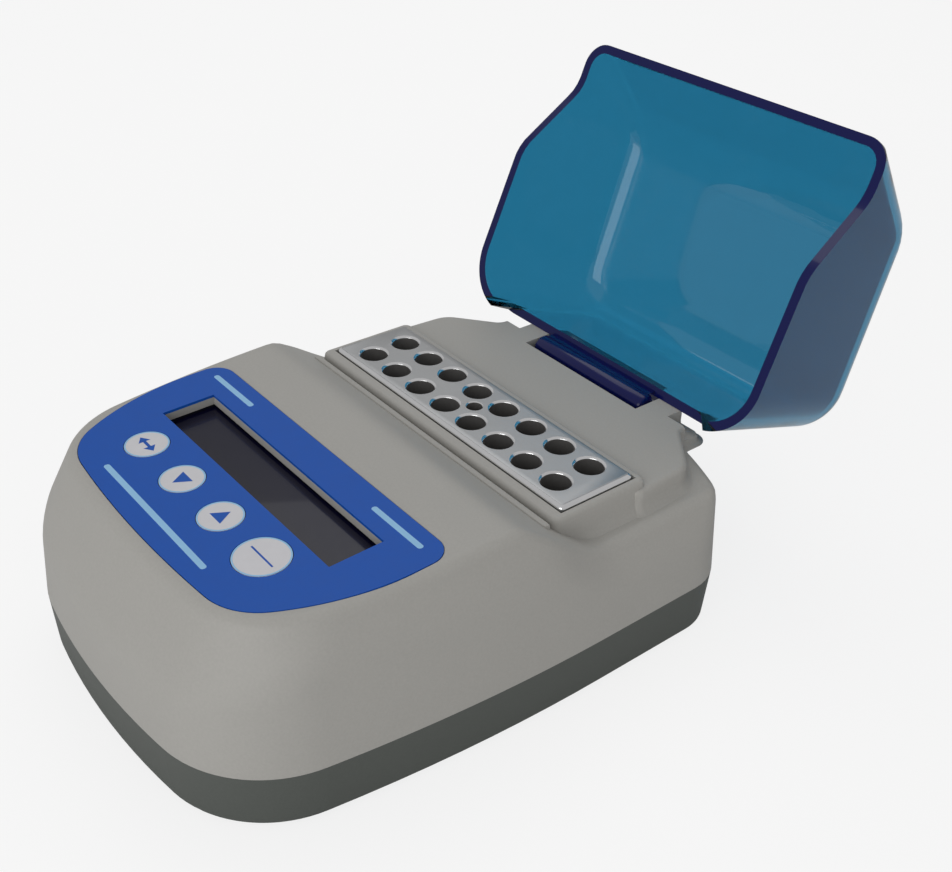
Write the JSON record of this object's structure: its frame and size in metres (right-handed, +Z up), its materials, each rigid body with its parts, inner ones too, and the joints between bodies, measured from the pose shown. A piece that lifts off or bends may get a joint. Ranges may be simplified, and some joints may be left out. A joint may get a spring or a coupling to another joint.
{
  "type": "dry bath incubator",
  "caption": "Compact dry block heater with a hinged clear lid, tube wells in an aluminium block and a sloping key panel with a display.",
  "frame": {"origin": "bench top under the middle of the box around the object with its lid open", "axes": "+X to the user's right, -Y towards the user, +Z up"},
  "size_m": [0.101, 0.1778, 0.0987],
  "materials": {
    "shell_plastic": "fine texture, warm light grey",
    "base_plastic": "fine texture, dark grey",
    "foot_rubber": "matt",
    "lid_clear_blue": "clear, tinted blue, polished",
    "block_aluminium": "satin, bead-blasted",
    "panel_blue": "satin film",
    "key_grey": "satin",
    "display_glass": "polished",
    "board_green": "solder mask",
    "component_black": "satin",
    "tray_plastic": "moulded, heat resistant",
    "heater_silicone": "matt",
    "clamp_steel": "plain",
    "screw_steel": "plated",
    "contact_brass": "plain",
    "capacitor_sleeve": "shrink sleeve",
    "lead_white": "smooth",
    "lead_red": "smooth",
    "ribbon_grey": "flat cable"
  },
  "bodies": {
    "case": {"base_shell": "base_plastic", "upper_shell": "shell_plastic", "rubber_feet": "foot_rubber", "case_screws": "screw_steel", "heating_block": "block_aluminium", "heater_pad": "heater_silicone", "clamp_plate": "clamp_steel", "insulation_tray": "tray_plastic", "block_screws": "screw_steel", "tray_screws": "screw_steel", "temperature_sensor": "clamp_steel", "sensor_lead": "lead_white", "heater_leads": "lead_red", "thermal_cutout": "component_black", "hinge_pin": "screw_steel", "panel_overlay": "panel_blue", "key_switches": "component_black", "key_board": "board_green", "key_board_screws": "screw_steel", "display_frame": "component_black", "display_glass": "display_glass", "display_backlight": "lead_white", "ribbon": "ribbon_grey", "main_board": "board_green", "main_board_screws": "screw_steel", "controller_chip": "component_black", "capacitors": "capacitor_sleeve", "buzzer": "component_black", "heat_sink": "block_aluminium", "driver_transistor": "component_black", "board_headers": "lead_white", "switch_housing": "component_black", "switch_terminals": "contact_brass", "power_inlet": "component_black", "inlet_contact": "contact_brass", "inlet_nut": "screw_steel"},
    "lid": {"lid": "lid_clear_blue"},
    "key_return": {"key_return": "key_grey"},
    "key_down": {"key_down": "key_grey"},
    "key_up": {"key_up": "key_grey"},
    "key_run": {"key_run": "key_grey"},
    "rocker": {"power_rocker": "component_black"}
  },
  "joints": [
    {"name": "lid_hinge", "type": "hinge", "parent": "case", "child": "lid", "pos_m": [0, 0.037, 0.03665], "axis": [1, 0, 0], "range_deg": [0, 112.2]},
    {"name": "key_return_press", "type": "slide", "parent": "case", "child": "key_return", "axis": [0, 0.0262, -0.9997], "range_m": [0, 0.0004], "stiffness_N_per_m": 800, "springref_m": -0.0003},
    {"name": "key_down_press", "type": "slide", "parent": "case", "child": "key_down", "axis": [0, 0.0262, -0.9997], "range_m": [0, 0.0004], "stiffness_N_per_m": 800, "springref_m": -0.0003},
    {"name": "key_up_press", "type": "slide", "parent": "case", "child": "key_up", "axis": [0, 0.0262, -0.9997], "range_m": [0, 0.0004], "stiffness_N_per_m": 800, "springref_m": -0.0003},
    {"name": "key_run_press", "type": "slide", "parent": "case", "child": "key_run", "axis": [0, 0.0262, -0.9997], "range_m": [0, 0.0004], "stiffness_N_per_m": 800, "springref_m": -0.0003},
    {"name": "rocker_tilt", "type": "hinge", "parent": "case", "child": "rocker", "pos_m": [0.01533, 0.04041, 0.02356], "axis": [0.0116, 0.0776, -0.9969], "range_deg": [0, 12]}
  ]
}
